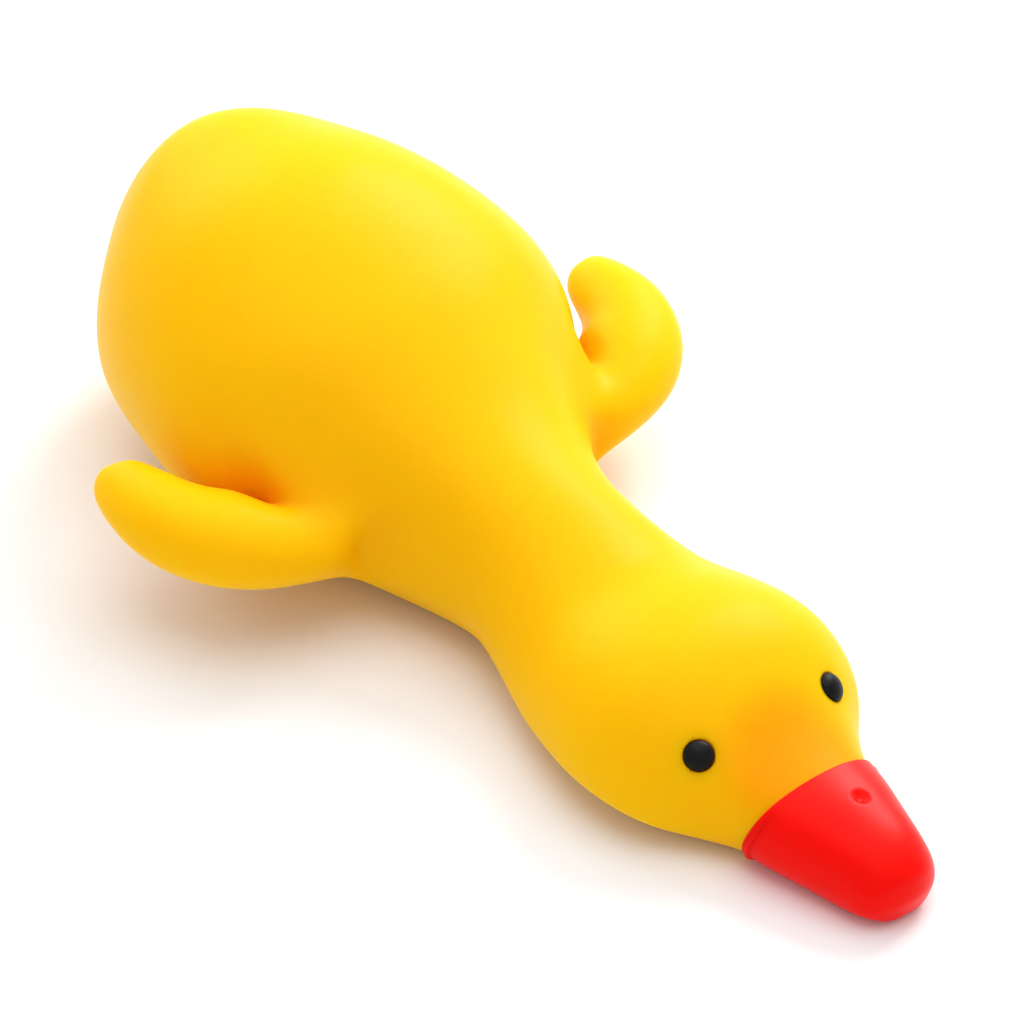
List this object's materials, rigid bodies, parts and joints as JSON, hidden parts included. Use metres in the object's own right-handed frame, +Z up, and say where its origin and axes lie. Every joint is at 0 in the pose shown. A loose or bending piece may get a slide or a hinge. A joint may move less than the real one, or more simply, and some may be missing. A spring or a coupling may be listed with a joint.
{
  "type": "squishy goose",
  "caption": "Soft moulded yellow goose lying flat, with swept-back wings, black bead eyes and a red beak, to squeeze at a desk.",
  "frame": {"origin": "under the middle of the goose, on the plane of the surface that it lies on", "axes": "+X towards the beak tip, +Y to the goose's left, +Z up"},
  "size_m": [0.1576, 0.0906, 0.0445],
  "materials": {
    "yellow_rubber": "satin, soft and slightly waxy",
    "red_rubber": "satin",
    "black_bead": "gloss"
  },
  "bodies": {
    "root": {"body": "yellow_rubber", "beak": "red_rubber", "left_eye": "black_bead", "right_eye": "black_bead"}
  },
  "joints": []
}
